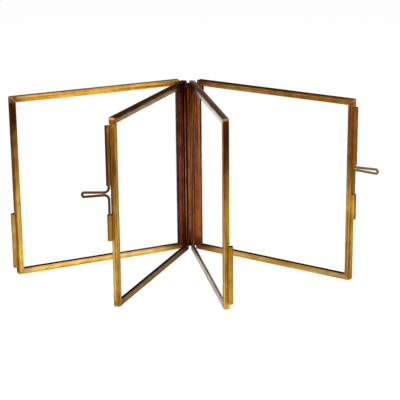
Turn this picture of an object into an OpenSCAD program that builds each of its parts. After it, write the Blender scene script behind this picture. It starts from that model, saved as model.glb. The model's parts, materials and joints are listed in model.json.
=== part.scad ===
// Folding picture frame: four glazed leaves that fan out from one spine.
// Each leaf is a mitred brass channel round a pane of clear glass. The two left
// leaves close over one picture and the two right leaves over another. A bent
// wire bolt, which slides in tubes on the free edge, locks each closed pair.
// The leaves stand on their bottom rails. The origin is on that surface, under
// the middle of the opened frame, with -Y towards the viewer.

/* [Leaf] */
// Outside width of a leaf
leaf_w = 115; // [90:1:160]
// Outside height of a leaf
leaf_h = 115; // [100:1:160]
// Thickness of a glass pane
glass_t = 2; // [1.5:0.1:3]
// Gap between a pane and each lip of its channel
glass_play = 0.2; // [0.1:0.05:0.4]
// Gap between a pane's edge and the bottom of its groove
glass_end_gap = 0.3; // [0.1:0.05:0.8]
// Width of the channel's face
rail_face = 3.8; // [3:0.1:6]
// Thickness of the channel's brass
channel_wall = 0.6; // [0.4:0.05:0.8]
// Rounding along the channel's outer edges
edge_round = 0.45; // [0.1:0.05:0.6]
// Rounding of the channel's lips
lip_round = 0.2; // [0.05:0.05:0.3]
// Rounding of a leaf's outer corners
corner_round = 1.2; // [0.7:0.1:2.4]

/* [Tubes and wire] */
// Diameter of the wire of the hinge pins and the bolts
wire_d = 1.5; // [1:0.05:1.6]
// Gap all round between a wire and its tube
wire_play = 0.07; // [0.03:0.01:0.1]
// Wall of the hinge knuckles and the clasp tubes
tube_wall = 0.675; // [0.5:0.025:1]
// Gap between a tube and the edge of its leaf, which the solder fills
tube_standoff = 0.2; // [0.1:0.05:0.4]
// How far up the edge of its leaf the solder of a tube climbs
solder_rise = 1.1; // [0.7:0.05:1.5]
// Gap between two leaves that are closed on each other
seam_gap = 0.4; // [0.2:0.05:1]

/* [Hinges] */
// Distance from the top and bottom of a leaf to the ends of its hinge
hinge_inset = 2.3; // [0.5:0.1:6]
// Length of a hinge's bottom knuckle
bottom_knuckle_l = 22; // [12:0.5:30]
// Length of a hinge's top knuckle
top_knuckle_l = 23.7; // [12:0.5:30]
// Gap between one knuckle and the next
knuckle_gap = 0.3; // [0.1:0.05:0.8]

/* [Clasps] */
// Height of the right keeper tube's lower end above the foot of its leaf
keeper_inset = 4.3; // [1:0.1:8]
// Length of a keeper tube
keeper_l = 35.4; // [20:0.1:38]
// Gap between the keeper tube and the short tube of the other leaf, when closed
clasp_gap = 0.9; // [0.3:0.05:2]
// Length of the short tube below the bolt's handle
short_tube_l = 15.7; // [8:0.1:18]
// How much higher the left clasp's keeper tube and short tube sit than the right clasp's
left_clasp_raise = 1.2; // [0:0.1:3]
// Height of the gap in which the right bolt's handle travels
bolt_window = 18.8; // [12:0.1:20]
// Distance from the top of a leaf to the upper tube
upper_inset = 4.5; // [1:0.1:8]

/* [Bolts] */
// Distance from the bolt's stem to the outer end of its handle
loop_reach = 16.2; // [12:0.1:24]
// Height of the eye at the end of the handle, outside the wire
loop_eye = 4.1; // [3.2:0.05:5]
// Gap between the two legs where the handle leaves the stem
loop_pinch = 0.1; // [0.05:0.05:0.5]
// Bend of the left bolt's wire, along its middle
left_bend_r = 2.8; // [1:0.1:3.2]
// Bend of the right bolt's wire, along its middle
right_bend_r = 1.3; // [1:0.1:3.2]
// Gap between a bend and the end of the nearest tube, at either end of the travel
bend_gap = 0.3; // [0.1:0.05:0.8]
// Length of the stem above the handle's upper bend
stem_l = 22; // [18:0.5:24]
// Height of a bolt's tip above the lower end of its short tube, as the bolt rests
tip_inset = 0.4; // [0.1:0.1:2]
// How far the left bolt rests below the top of its travel, where the right bolt is
left_bolt_drop = 0.9; // [0:0.1:3]
// Turn of the left handle from the line of its leaf towards the far left leaf
left_handle_turn = 62.5; // [0:0.5:80]
// Turn of the right handle from the line of its leaf, away from the other leaf
right_handle_turn = 2.5; // [0:0.5:60]

/* [Stand] */
// Angle between the two left leaves
left_pair_angle = 43.4; // [5:0.1:90]
// Angle between the near left leaf and the near right leaf
centre_angle = 30.6; // [5:0.1:90]
// Angle between the two right leaves
right_pair_angle = 44.9; // [5:0.1:90]

/* [Hidden] */
$fn = 48;
// Overrun of a cut past the face that it goes through
over = 1;
leaf_t = glass_t + 2 * glass_play + 2 * channel_wall;
groove_t = leaf_t - 2 * channel_wall;
pane_inset = channel_wall + glass_end_gap;
bore_d = wire_d + 2 * wire_play;
tube_d = bore_d + 2 * tube_wall;
tube_r = tube_d / 2;
// Swelling of the wire where it is bent, all round
bend_swell = 0.02;
bend_d = wire_d + 2 * bend_swell;
// How far a straight length of wire runs into the bend that follows it
bend_lap = 0.1;

// From a hinge's axis or a clasp's axis to the edge of its leaf
tube_off = tube_r + tube_standoff;
// From one seam of a leaf to the other
leaf_pitch = leaf_t + seam_gap;
// From the hinge's axis to the clasp's axis
clasp_x = leaf_w + 2 * tube_off;
// Where the solder leaves the tube, as a turn from the line of the leaf
solder_turn = 72;
// Radius of the solder's hollow face
solder_cove_r = solder_rise;

hinge_bottom = hinge_inset;
hinge_top = leaf_h - hinge_inset;
middle_knuckle_bottom = hinge_bottom + bottom_knuckle_l + knuckle_gap;
middle_knuckle_top = hinge_top - top_knuckle_l - knuckle_gap;

keeper_top = keeper_inset + keeper_l;
short_tube_bottom = keeper_top + clasp_gap;
short_tube_top = short_tube_bottom + short_tube_l;
upper_tube_bottom = short_tube_top + bolt_window;
upper_tube_top = leaf_h - upper_inset;

// The handle's two legs and eye, along the middle of the wire
leg_half_gap = (bend_d + loop_pinch) / 2;
eye_r = (loop_eye - bend_d) / 2;
eye_x = loop_reach - loop_eye / 2;

near_left_angle = 270 - centre_angle / 2;
near_right_angle = 270 + centre_angle / 2;
far_left_angle = near_left_angle - left_pair_angle;
far_right_angle = near_right_angle + right_pair_angle;

// A leaf is [plan position of its hinge axis, direction, side of the axis that it lies on]
FAR_LEFT = [turned([0, -leaf_pitch], near_left_angle), far_left_angle, -1];
NEAR_LEFT = [[0, 0], near_left_angle, -1];
NEAR_RIGHT = [[0, 0], near_right_angle, 1];
FAR_RIGHT = [turned([0, leaf_pitch], near_right_angle), far_right_angle, 1];

// Plan points at the outside of the opened frame, measured from the centre hinge
plan = concat(
    leaf_plan(FAR_LEFT), leaf_plan(NEAR_LEFT), leaf_plan(NEAR_RIGHT), leaf_plan(FAR_RIGHT),
    tube_plan(FAR_LEFT, [clasp_x, 0]), tube_plan(FAR_LEFT, [0, 0]),
    tube_plan(NEAR_LEFT, [clasp_x, -leaf_pitch]), tube_plan(NEAR_RIGHT, [clasp_x, leaf_pitch]),
    tube_plan(FAR_RIGHT, [clasp_x, 0]), tube_plan(FAR_RIGHT, [0, 0]),
    handle_plan(NEAR_LEFT, [clasp_x, -leaf_pitch], -left_handle_turn),
    handle_plan(FAR_RIGHT, [clasp_x, 0], right_handle_turn)
);
plan_x = [for (p = plan) p.x];
plan_y = [for (p = plan) p.y];
middle = [(min(plan_x) + max(plan_x)) / 2, (min(plan_y) + max(plan_y)) / 2];

// Colours
brass = [0.78, 0.57, 0.25];
dark_brass = [0.48, 0.24, 0.11];
wire_brass = [0.60, 0.42, 0.20];
clear_glass = [0.85, 0.92, 0.90, 0.3];

// A plan point turned about the origin
function turned(p, a) = [p.x * cos(a) - p.y * sin(a), p.x * sin(a) + p.y * cos(a)];

// A plan point given in a leaf's own directions, measured from the centre hinge
function leaf_point(leaf, p) = leaf[0] + turned(p, leaf[1]);

function leaf_plan(leaf) = [
    for (x = [tube_off, tube_off + leaf_w], y = [seam_gap / 2, seam_gap / 2 + leaf_t])
        leaf_point(leaf, [x, leaf[2] * y])
];
function tube_plan(leaf, p) = [
    for (dx = [-tube_r, tube_r], dy = [-tube_r, tube_r]) leaf_point(leaf, p) + [dx, dy]
];
function handle_plan(leaf, p, a) = [leaf_point(leaf, p + turned([loop_reach, 0], a))];

// Places a leaf's pieces: its hinge axis is the Z axis and the leaf runs along +X
module on_leaf(leaf) {
    translate([leaf[0].x - middle.x, leaf[0].y - middle.y, 0])
        rotate([0, 0, leaf[1]])
            children();
}

// The seam on the other face of a leaf, away from its own hinge axis
module at_outer_seam(leaf) {
    translate([0, leaf[2] * leaf_pitch, 0])
        children();
}

// Moves the leaf's slab, drawn from its hinge edge, to its side of the hinge axis
module slab(leaf) {
    translate([tube_off, leaf[2] > 0 ? seam_gap / 2 : -seam_gap / 2 - leaf_t, 0])
        children();
}

// Cross-section of the channel: X across the leaf, Y from the outer edge inwards
module channel_section() {
    difference() {
        union() {
            translate([edge_round, 0])
                square([leaf_t - 2 * edge_round, rail_face]);
            translate([0, edge_round])
                square([leaf_t, rail_face - edge_round - lip_round]);
            translate([lip_round, edge_round])
                square([leaf_t - 2 * lip_round, rail_face - edge_round]);
            for (x = [edge_round, leaf_t - edge_round])
                translate([x, edge_round])
                    circle(r = edge_round);
            for (x = [lip_round, leaf_t - lip_round])
                translate([x, rail_face - lip_round])
                    circle(r = lip_round);
        }
        translate([channel_wall, channel_wall])
            square([groove_t, rail_face]);
    }
}

// Outline of a leaf with its rounded corners
module leaf_outline() {
    translate([corner_round, 0])
        square([leaf_w - 2 * corner_round, leaf_h]);
    translate([0, corner_round])
        square([leaf_w, leaf_h - 2 * corner_round]);
    for (x = [corner_round, leaf_w - corner_round], y = [corner_round, leaf_h - corner_round])
        translate([x, y])
            circle(r = corner_round);
}

// The part of the leaf's outline that lies within the given mitred outline, as a block
module mitred_block(points) {
    translate([0, leaf_t + over, 0])
        rotate([90, 0, 0])
            linear_extrude(height = leaf_t + 2 * over)
                intersection() {
                    leaf_outline();
                    polygon(points);
                }
}

module bottom_rail() {
    intersection() {
        rotate([90, 0, 90])
            linear_extrude(height = leaf_w)
                channel_section();
        mitred_block([
            [0, 0], [leaf_w, 0],
            [leaf_w - rail_face, rail_face], [rail_face, rail_face]
        ]);
    }
}

module top_rail() {
    translate([0, 0, leaf_h])
        mirror([0, 0, 1])
            bottom_rail();
}

module hinge_stile() {
    intersection() {
        translate([0, leaf_t, 0])
            rotate([0, 0, -90])
                linear_extrude(height = leaf_h)
                    channel_section();
        mitred_block([
            [0, 0], [rail_face, rail_face],
            [rail_face, leaf_h - rail_face], [0, leaf_h]
        ]);
    }
}

module clasp_stile() {
    translate([leaf_w, 0, 0])
        mirror([1, 0, 0])
            hinge_stile();
}

module pane() {
    translate([pane_inset, (leaf_t - glass_t) / 2, pane_inset])
        cube([leaf_w - 2 * pane_inset, glass_t, leaf_h - 2 * pane_inset]);
}

// Section of the solder between a tube at the origin and a leaf's edge at +X.
// It stays on the leaf's side of the seam, which is the X axis.
module solder_section() {
    foot = [tube_off, seam_gap / 2 + edge_round];
    crest = [tube_off, foot.y + solder_rise];
    shoulder = tube_r * [cos(solder_turn), sin(solder_turn)];
    root = [tube_r * cos(asin(seam_gap / 2 / tube_r)), seam_gap / 2];
    chord = crest - shoulder;
    lift = sqrt(pow(solder_cove_r, 2) - pow(norm(chord) / 2, 2));
    cove = (crest + shoulder) / 2 + lift * [-chord.y, chord.x] / norm(chord);
    difference() {
        polygon([[0, 0], root, foot, crest, shoulder]);
        translate(cove)
            circle(r = solder_cove_r);
    }
}

// A tube at the origin, soldered to a leaf that starts at +X, on the given side of the seam
module edge_tube(bottom, top, side) {
    translate([0, 0, bottom])
        difference() {
            union() {
                cylinder(d = tube_d, h = top - bottom);
                mirror([0, side > 0 ? 0 : 1, 0])
                    linear_extrude(height = top - bottom)
                        solder_section();
            }
            translate([0, 0, -over])
                cylinder(d = bore_d, h = top - bottom + 2 * over);
        }
}

// The same tube on the free edge of the leaf
module clasp_tube(bottom, top, side) {
    translate([clasp_x, 0, 0])
        mirror([1, 0, 0])
            edge_tube(bottom, top, side);
}

module end_knuckles(side) {
    edge_tube(hinge_bottom, hinge_bottom + bottom_knuckle_l, side);
    edge_tube(hinge_top - top_knuckle_l, hinge_top, side);
}

module middle_knuckle(side) {
    edge_tube(middle_knuckle_bottom, middle_knuckle_top, side);
}

module hinge_pin() {
    translate([0, 0, hinge_bottom])
        cylinder(d = wire_d, h = hinge_top - hinge_bottom);
}

module keeper_tube(side, raise) {
    clasp_tube(keeper_inset + raise, keeper_top + raise, side);
}

module short_tube(side, raise) {
    clasp_tube(short_tube_bottom + raise, short_tube_top + raise, side);
}

module upper_tube(side) {
    clasp_tube(upper_tube_bottom, upper_tube_top, side);
}

// A bend of the wire in the XZ plane, from one angle through a sweep, about its centre
module wire_arc(centre, r, from, sweep) {
    translate([centre.x, 0, centre.y])
        rotate([90, 0, 0])
            rotate([0, 0, from])
                rotate_extrude(angle = sweep)
                    translate([r, 0])
                        circle(d = bend_d);
}

// The hairpin handle with its two bends: Z is the stem and X the handle
module handle(bend_r) {
    bend = [bend_r, bend_r + leg_half_gap];
    span = norm([eye_x - bend.x, bend.y]);
    slope = asin((eye_r + bend_r) / span) - atan2(bend.y, eye_x - bend.x);
    leg_l = sqrt(pow(span, 2) - pow(eye_r + bend_r, 2));
    leg_start = bend + bend_r * [sin(slope), -cos(slope)];
    wire_arc([eye_x, 0], eye_r, -90 - slope, 180 + 2 * slope);
    for (lower = [0, 1])
        mirror([0, 0, lower]) {
            wire_arc(bend, bend_r, 180, 90 + slope);
            translate([leg_start.x, 0, leg_start.y])
                rotate([0, 90 - slope, 0])
                    translate([0, 0, -bend_lap])
                        cylinder(d = wire_d, h = leg_l + 2 * bend_lap);
        }
}

// A bolt bent from one wire: stem, bend, hairpin handle, bend and tip. It rests the given
// drop below the top of its travel, and its short tube sits the given raise above the right one.
module bolt(bend_r, raise, drop) {
    bend_z = bend_r + leg_half_gap;
    handle_z = upper_tube_bottom - bend_gap - bend_z - drop;
    tip_l = handle_z - bend_z - short_tube_bottom - raise - tip_inset;
    translate([0, 0, handle_z]) {
        handle(bend_r);
        translate([0, 0, bend_z - bend_lap])
            cylinder(d = wire_d, h = stem_l + bend_lap);
        translate([0, 0, -bend_z - tip_l + wire_d / 2]) {
            cylinder(d = wire_d, h = tip_l - wire_d / 2 + bend_lap);
            sphere(d = wire_d);
        }
    }
}

// Far left leaf
module far_left_top_rail() {
    color(brass) on_leaf(FAR_LEFT) slab(FAR_LEFT) top_rail();
}
module far_left_bottom_rail() {
    color(brass) on_leaf(FAR_LEFT) slab(FAR_LEFT) bottom_rail();
}
module far_left_hinge_stile() {
    color(dark_brass) on_leaf(FAR_LEFT) slab(FAR_LEFT) hinge_stile();
}
module far_left_clasp_stile() {
    color(brass) on_leaf(FAR_LEFT) slab(FAR_LEFT) clasp_stile();
}
module far_left_glass() {
    color(clear_glass) on_leaf(FAR_LEFT) slab(FAR_LEFT) pane();
}
module far_left_end_knuckles() {
    color(dark_brass) on_leaf(FAR_LEFT) end_knuckles(FAR_LEFT[2]);
}
module far_left_keeper_tube() {
    color(brass) on_leaf(FAR_LEFT) keeper_tube(FAR_LEFT[2], left_clasp_raise);
}
module left_hinge_pin() {
    color(wire_brass) on_leaf(FAR_LEFT) hinge_pin();
}

// Near left leaf
module near_left_top_rail() {
    color(brass) on_leaf(NEAR_LEFT) slab(NEAR_LEFT) top_rail();
}
module near_left_bottom_rail() {
    color(brass) on_leaf(NEAR_LEFT) slab(NEAR_LEFT) bottom_rail();
}
module near_left_hinge_stile() {
    color(dark_brass) on_leaf(NEAR_LEFT) slab(NEAR_LEFT) hinge_stile();
}
module near_left_clasp_stile() {
    color(brass) on_leaf(NEAR_LEFT) slab(NEAR_LEFT) clasp_stile();
}
module near_left_glass() {
    color(clear_glass) on_leaf(NEAR_LEFT) slab(NEAR_LEFT) pane();
}
module near_left_middle_knuckle() {
    color(dark_brass)
        on_leaf(NEAR_LEFT) at_outer_seam(NEAR_LEFT) middle_knuckle(-NEAR_LEFT[2]);
}
module near_left_end_knuckles() {
    color(dark_brass) on_leaf(NEAR_LEFT) end_knuckles(NEAR_LEFT[2]);
}
module near_left_upper_tube() {
    color(brass) on_leaf(NEAR_LEFT) at_outer_seam(NEAR_LEFT) upper_tube(-NEAR_LEFT[2]);
}
module near_left_short_tube() {
    color(brass)
        on_leaf(NEAR_LEFT)
            at_outer_seam(NEAR_LEFT)
                short_tube(-NEAR_LEFT[2], left_clasp_raise);
}
module centre_hinge_pin() {
    color(wire_brass) on_leaf(NEAR_LEFT) hinge_pin();
}
module left_bolt() {
    color(wire_brass)
        on_leaf(NEAR_LEFT)
            at_outer_seam(NEAR_LEFT)
                translate([clasp_x, 0, 0])
                    rotate([0, 0, -left_handle_turn])
                        bolt(left_bend_r, left_clasp_raise, left_bolt_drop);
}

// Near right leaf
module near_right_top_rail() {
    color(brass) on_leaf(NEAR_RIGHT) slab(NEAR_RIGHT) top_rail();
}
module near_right_bottom_rail() {
    color(brass) on_leaf(NEAR_RIGHT) slab(NEAR_RIGHT) bottom_rail();
}
module near_right_hinge_stile() {
    color(dark_brass) on_leaf(NEAR_RIGHT) slab(NEAR_RIGHT) hinge_stile();
}
module near_right_clasp_stile() {
    color(brass) on_leaf(NEAR_RIGHT) slab(NEAR_RIGHT) clasp_stile();
}
module near_right_glass() {
    color(clear_glass) on_leaf(NEAR_RIGHT) slab(NEAR_RIGHT) pane();
}
module near_right_centre_knuckle() {
    color(dark_brass) on_leaf(NEAR_RIGHT) middle_knuckle(NEAR_RIGHT[2]);
}
module near_right_side_knuckle() {
    color(dark_brass)
        on_leaf(NEAR_RIGHT) at_outer_seam(NEAR_RIGHT) middle_knuckle(-NEAR_RIGHT[2]);
}
module near_right_keeper_tube() {
    color(brass) on_leaf(NEAR_RIGHT) at_outer_seam(NEAR_RIGHT) keeper_tube(-NEAR_RIGHT[2], 0);
}

// Far right leaf
module far_right_top_rail() {
    color(brass) on_leaf(FAR_RIGHT) slab(FAR_RIGHT) top_rail();
}
module far_right_bottom_rail() {
    color(brass) on_leaf(FAR_RIGHT) slab(FAR_RIGHT) bottom_rail();
}
module far_right_hinge_stile() {
    color(dark_brass) on_leaf(FAR_RIGHT) slab(FAR_RIGHT) hinge_stile();
}
module far_right_clasp_stile() {
    color(brass) on_leaf(FAR_RIGHT) slab(FAR_RIGHT) clasp_stile();
}
module far_right_glass() {
    color(clear_glass) on_leaf(FAR_RIGHT) slab(FAR_RIGHT) pane();
}
module far_right_end_knuckles() {
    color(dark_brass) on_leaf(FAR_RIGHT) end_knuckles(FAR_RIGHT[2]);
}
module far_right_upper_tube() {
    color(brass) on_leaf(FAR_RIGHT) upper_tube(FAR_RIGHT[2]);
}
module far_right_short_tube() {
    color(brass) on_leaf(FAR_RIGHT) short_tube(FAR_RIGHT[2], 0);
}
module right_hinge_pin() {
    color(wire_brass) on_leaf(FAR_RIGHT) hinge_pin();
}
module right_bolt() {
    color(wire_brass)
        on_leaf(FAR_RIGHT)
            translate([clasp_x, 0, 0])
                rotate([0, 0, right_handle_turn])
                    bolt(right_bend_r, 0, 0);
}

far_left_top_rail();
far_left_bottom_rail();
far_left_hinge_stile();
far_left_clasp_stile();
far_left_glass();
far_left_end_knuckles();
far_left_keeper_tube();
left_hinge_pin();
near_left_top_rail();
near_left_bottom_rail();
near_left_hinge_stile();
near_left_clasp_stile();
near_left_glass();
near_left_middle_knuckle();
near_left_end_knuckles();
near_left_upper_tube();
near_left_short_tube();
centre_hinge_pin();
left_bolt();
near_right_top_rail();
near_right_bottom_rail();
near_right_hinge_stile();
near_right_clasp_stile();
near_right_glass();
near_right_centre_knuckle();
near_right_side_knuckle();
near_right_keeper_tube();
far_right_top_rail();
far_right_bottom_rail();
far_right_hinge_stile();
far_right_clasp_stile();
far_right_glass();
far_right_end_knuckles();
far_right_upper_tube();
far_right_short_tube();
right_hinge_pin();
right_bolt();
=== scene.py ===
import json
import math
from collections import namedtuple

import bpy
from mathutils import Matrix, Vector


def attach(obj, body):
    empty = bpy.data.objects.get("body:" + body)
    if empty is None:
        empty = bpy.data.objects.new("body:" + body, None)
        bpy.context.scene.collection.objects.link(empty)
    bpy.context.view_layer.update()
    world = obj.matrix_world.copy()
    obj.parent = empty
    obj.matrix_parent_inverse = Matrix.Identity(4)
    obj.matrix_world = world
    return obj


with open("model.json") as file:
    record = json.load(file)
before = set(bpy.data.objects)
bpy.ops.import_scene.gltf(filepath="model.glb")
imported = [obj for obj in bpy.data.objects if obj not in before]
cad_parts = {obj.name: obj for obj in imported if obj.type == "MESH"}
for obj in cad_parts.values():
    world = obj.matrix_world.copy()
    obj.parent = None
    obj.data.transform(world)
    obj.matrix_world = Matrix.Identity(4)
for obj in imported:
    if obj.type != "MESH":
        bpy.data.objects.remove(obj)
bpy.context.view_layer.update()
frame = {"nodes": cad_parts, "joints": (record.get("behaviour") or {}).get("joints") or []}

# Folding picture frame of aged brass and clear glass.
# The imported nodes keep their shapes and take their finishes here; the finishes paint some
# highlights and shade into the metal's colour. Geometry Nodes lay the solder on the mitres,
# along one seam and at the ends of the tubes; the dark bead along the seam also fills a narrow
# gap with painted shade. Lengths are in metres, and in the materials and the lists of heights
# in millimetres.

MM = 0.001

# Sizes of a leaf, as in the part's source
LEAF = 115 * MM
CHANNEL_FACE = 3.8 * MM
CHANNEL_DEPTH = 3.6 * MM
CORNER_ROUND = 1.2 * MM
SEAM_HALF = 0.2 * MM       # from the seam between two closed leaves to the channel
LEAF_PITCH = 4.0 * MM      # from the seam at one face of a leaf to the seam at the other
TUBE_RADIUS = 1.495 * MM
TUBE_BORE = 0.82 * MM
TUBE_TO_EDGE = 1.695 * MM  # from a tube's axis to the edge of the leaf
CLASP_ALONG = LEAF + 2 * TUBE_TO_EDGE

# A leaf's direction is in degrees. Its side is 1 where its thickness lies to the left of its
# direction, seen from above, and -1 where it lies to the right.
Leaf = namedtuple("Leaf", "body hinge direction side")
hinge_at = {j["name"]: Vector(j["pos_m"]) for j in frame["joints"] if j["type"] == "hinge"}
LEAVES = {
    "far_left": Leaf("far_left_leaf", hinge_at["left_pair_hinge"], 211.3, -1),
    "near_left": Leaf("near_left_leaf", hinge_at["centre_hinge"], 254.7, -1),
    "near_right": Leaf("near_right_leaf", hinge_at["centre_hinge"], 285.3, 1),
    "far_right": Leaf("far_right_leaf", hinge_at["right_pair_hinge"], 330.2, 1),
}

# Shades of the brass, from bare metal to soot, as sRGB values from 0 to 255. Soot also serves as
# painted shade, and tin and pewter as painted light and reflection in grooves and on pale faces,
# as ember does in one groove.
PALETTE = {
    "soot": (26, 12, 4),
    "umber": (66, 30, 8),
    "walnut": (92, 52, 18),
    "chestnut": (122, 80, 30),
    "bronze": (146, 102, 38),
    "tan": (170, 127, 50),
    "ochre": (187, 145, 64),
    "honey": (206, 160, 76),
    "straw": (231, 181, 83),
    "gold": (223, 160, 56),
    "rose": (222, 166, 112),
    "olive": (164, 134, 80),
    "moss": (112, 91, 50),
    "drab": (146, 122, 92),
    "taupe": (98, 76, 54),
    "pewter": (176, 163, 148),
    "tin": (211, 200, 189),
    "plum": (160, 108, 86),
    "clay": (206, 146, 100),
    "ember": (248, 160, 92),
    "maroon": (116, 52, 32),
    "brick": (130, 62, 36),
    "rust": (168, 98, 54),
    "sienna": (150, 76, 48),
    "mahogany": (120, 62, 38),
    "cinnamon": (131, 81, 33),
    "bark": (86, 56, 28),
    "copper": (184, 104, 52),
}


def paint(shade):
    """A shade from the palette as a linear colour."""
    def linear(v):
        v /= 255
        return v / 12.92 if v <= 0.04045 else ((v + 0.055) / 1.055) ** 2.4
    return (*(linear(v) for v in PALETTE[shade]), 1.0)


def on_leaf(leaf, along, across, up):
    """A point given from a leaf's hinge, its seam and its foot."""
    turn = Matrix.Rotation(math.radians(leaf.direction), 3, "Z")
    return leaf.hinge + turn @ Vector((along, leaf.side * across, up))


# ---------------------------------------------------------------- shader groups

def feed(tree, socket, value):
    """Sets an input to a value, or joins another node's output to it."""
    if isinstance(value, bpy.types.NodeSocket):
        tree.links.new(value, socket)
    else:
        socket.default_value = value


def put(tree, kind, inputs=None, **settings):
    """Adds a node. Each input is a value or another node's output."""
    made = tree.nodes.new(kind)
    for name, value in settings.items():
        setattr(made, name, value)
    for key, value in (inputs or {}).items():
        feed(tree, made.inputs[key], value)
    return made


def sum_of(tree, operation, *values, clamp=False):
    """A sum worked out by a Math node."""
    made = put(tree, "ShaderNodeMath", dict(enumerate(values)), operation=operation)
    made.use_clamp = clamp
    return made.outputs[0]


def step_up(tree, value, low, high, to_low=0.0, to_high=1.0):
    """Rises smoothly from to_low at low to to_high at high."""
    made = put(tree, "ShaderNodeMapRange",
               {"Value": value, "From Min": low, "From Max": high,
                "To Min": to_low, "To Max": to_high}, interpolation_type="SMOOTHSTEP")
    return made.outputs["Result"]


def blend_colour(tree, amount, first, second, blend_type="MIX"):
    """Passes from the first colour to the second as amount goes from 0 to 1."""
    made = put(tree, "ShaderNodeMix", {0: amount, 6: first, 7: second},
               data_type="RGBA", blend_type=blend_type)
    return made.outputs[2]


def scaled(tree, vector, scale):
    """A vector or a colour times a number."""
    made = put(tree, "ShaderNodeVectorMath", {0: vector, "Scale": scale}, operation="SCALE")
    return made.outputs[0]


def split(tree, vector):
    """The three parts of a vector."""
    return put(tree, "ShaderNodeSeparateXYZ", {0: vector}).outputs


def new_group(name, kind, inputs, outputs):
    """A node group with named sockets. Each input is (name, socket type, default)."""
    group = bpy.data.node_groups.new(name, kind)
    for title, socket, default in inputs:
        made = group.interface.new_socket(title, in_out="INPUT", socket_type=socket)
        if default is not None:
            made.default_value = default
    for title, socket in outputs:
        group.interface.new_socket(title, in_out="OUTPUT", socket_type=socket)
    given = group.nodes.new("NodeGroupInput").outputs
    return group, given, group.nodes.new("NodeGroupOutput").inputs


def use(tree, group, **values):
    """Places a group in a tree. A value's underscores stand for spaces in the input's name."""
    inputs = {name.replace("_", " "): value for name, value in values.items()}
    return put(tree, "ShaderNodeGroup", inputs, node_tree=group).outputs


FLOAT, VECTOR, COLOR = "NodeSocketFloat", "NodeSocketVector", "NodeSocketColor"


def make_leaf_place():
    """Where a point lies on its leaf, in millimetres along, across and up, and how it faces."""
    group, given, result = new_group(
        "leaf place", "ShaderNodeTree",
        [("Hinge", VECTOR, (0, 0, 0)), ("Turn", FLOAT, 0.0), ("Side", FLOAT, 1.0)],
        [("Place", VECTOR), ("Facing", VECTOR)])
    here = put(group, "ShaderNodeTexCoord").outputs
    back = sum_of(group, "MULTIPLY", given["Turn"], -1.0)
    side = put(group, "ShaderNodeCombineXYZ", {0: 1.0, 1: given["Side"], 2: 1.0}).outputs[0]
    from_hinge = put(group, "ShaderNodeVectorMath", {0: here["Object"], 1: given["Hinge"]},
                     operation="SUBTRACT").outputs[0]
    for source, scale, name in ((from_hinge, 1 / MM, "Place"), (here["Normal"], 1.0, "Facing")):
        turned = put(group, "ShaderNodeVectorRotate",
                     {"Vector": source, "Axis": (0, 0, 1), "Angle": back},
                     rotation_type="AXIS_ANGLE").outputs[0]
        sided = put(group, "ShaderNodeVectorMath", {0: scaled(group, turned, scale), 1: side},
                    operation="MULTIPLY")
        group.links.new(sided.outputs[0], result[name])
    return group


def make_drawn_lines():
    """Fine lines left by drawing the brass, slow blotches of tarnish and pits, from 0 to 1."""
    group, given, result = new_group(
        "drawn lines", "ShaderNodeTree",
        [("Place", VECTOR, (0, 0, 0)), ("Grain", VECTOR, (1, 1, 1)), ("Shift", FLOAT, 0.0)],
        [("Lines", FLOAT), ("Blotches", FLOAT), ("Pits", FLOAT)])
    stretched = put(group, "ShaderNodeVectorMath", {0: given["Place"], 1: given["Grain"]},
                    operation="MULTIPLY").outputs[0]
    for name, place, per_mm, detail, rough, low, high in (
            ("Lines", stretched, 1.0, 5.0, 0.6, 0.34, 0.66),
            ("Blotches", given["Place"], 0.11, 4.0, 0.62, 0.36, 0.64),
            ("Pits", given["Place"], 1.7, 3.0, 0.55, 0.62, 0.74)):
        noise = put(group, "ShaderNodeTexNoise",
                    {"Vector": place, "W": given["Shift"], "Scale": per_mm, "Detail": detail,
                     "Roughness": rough}, noise_dimensions="4D").outputs["Fac"]
        group.links.new(step_up(group, noise, low, high), result[name])
    return group


def from_edges(tree, along, up):
    """How far a point on a leaf is in from the hinge edge, the clasp edge and the top edge."""
    size = LEAF / MM
    from_hinge = sum_of(tree, "SUBTRACT", along, TUBE_TO_EDGE / MM)
    return (from_hinge, sum_of(tree, "SUBTRACT", size, from_hinge),
            sum_of(tree, "SUBTRACT", size, up))


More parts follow.
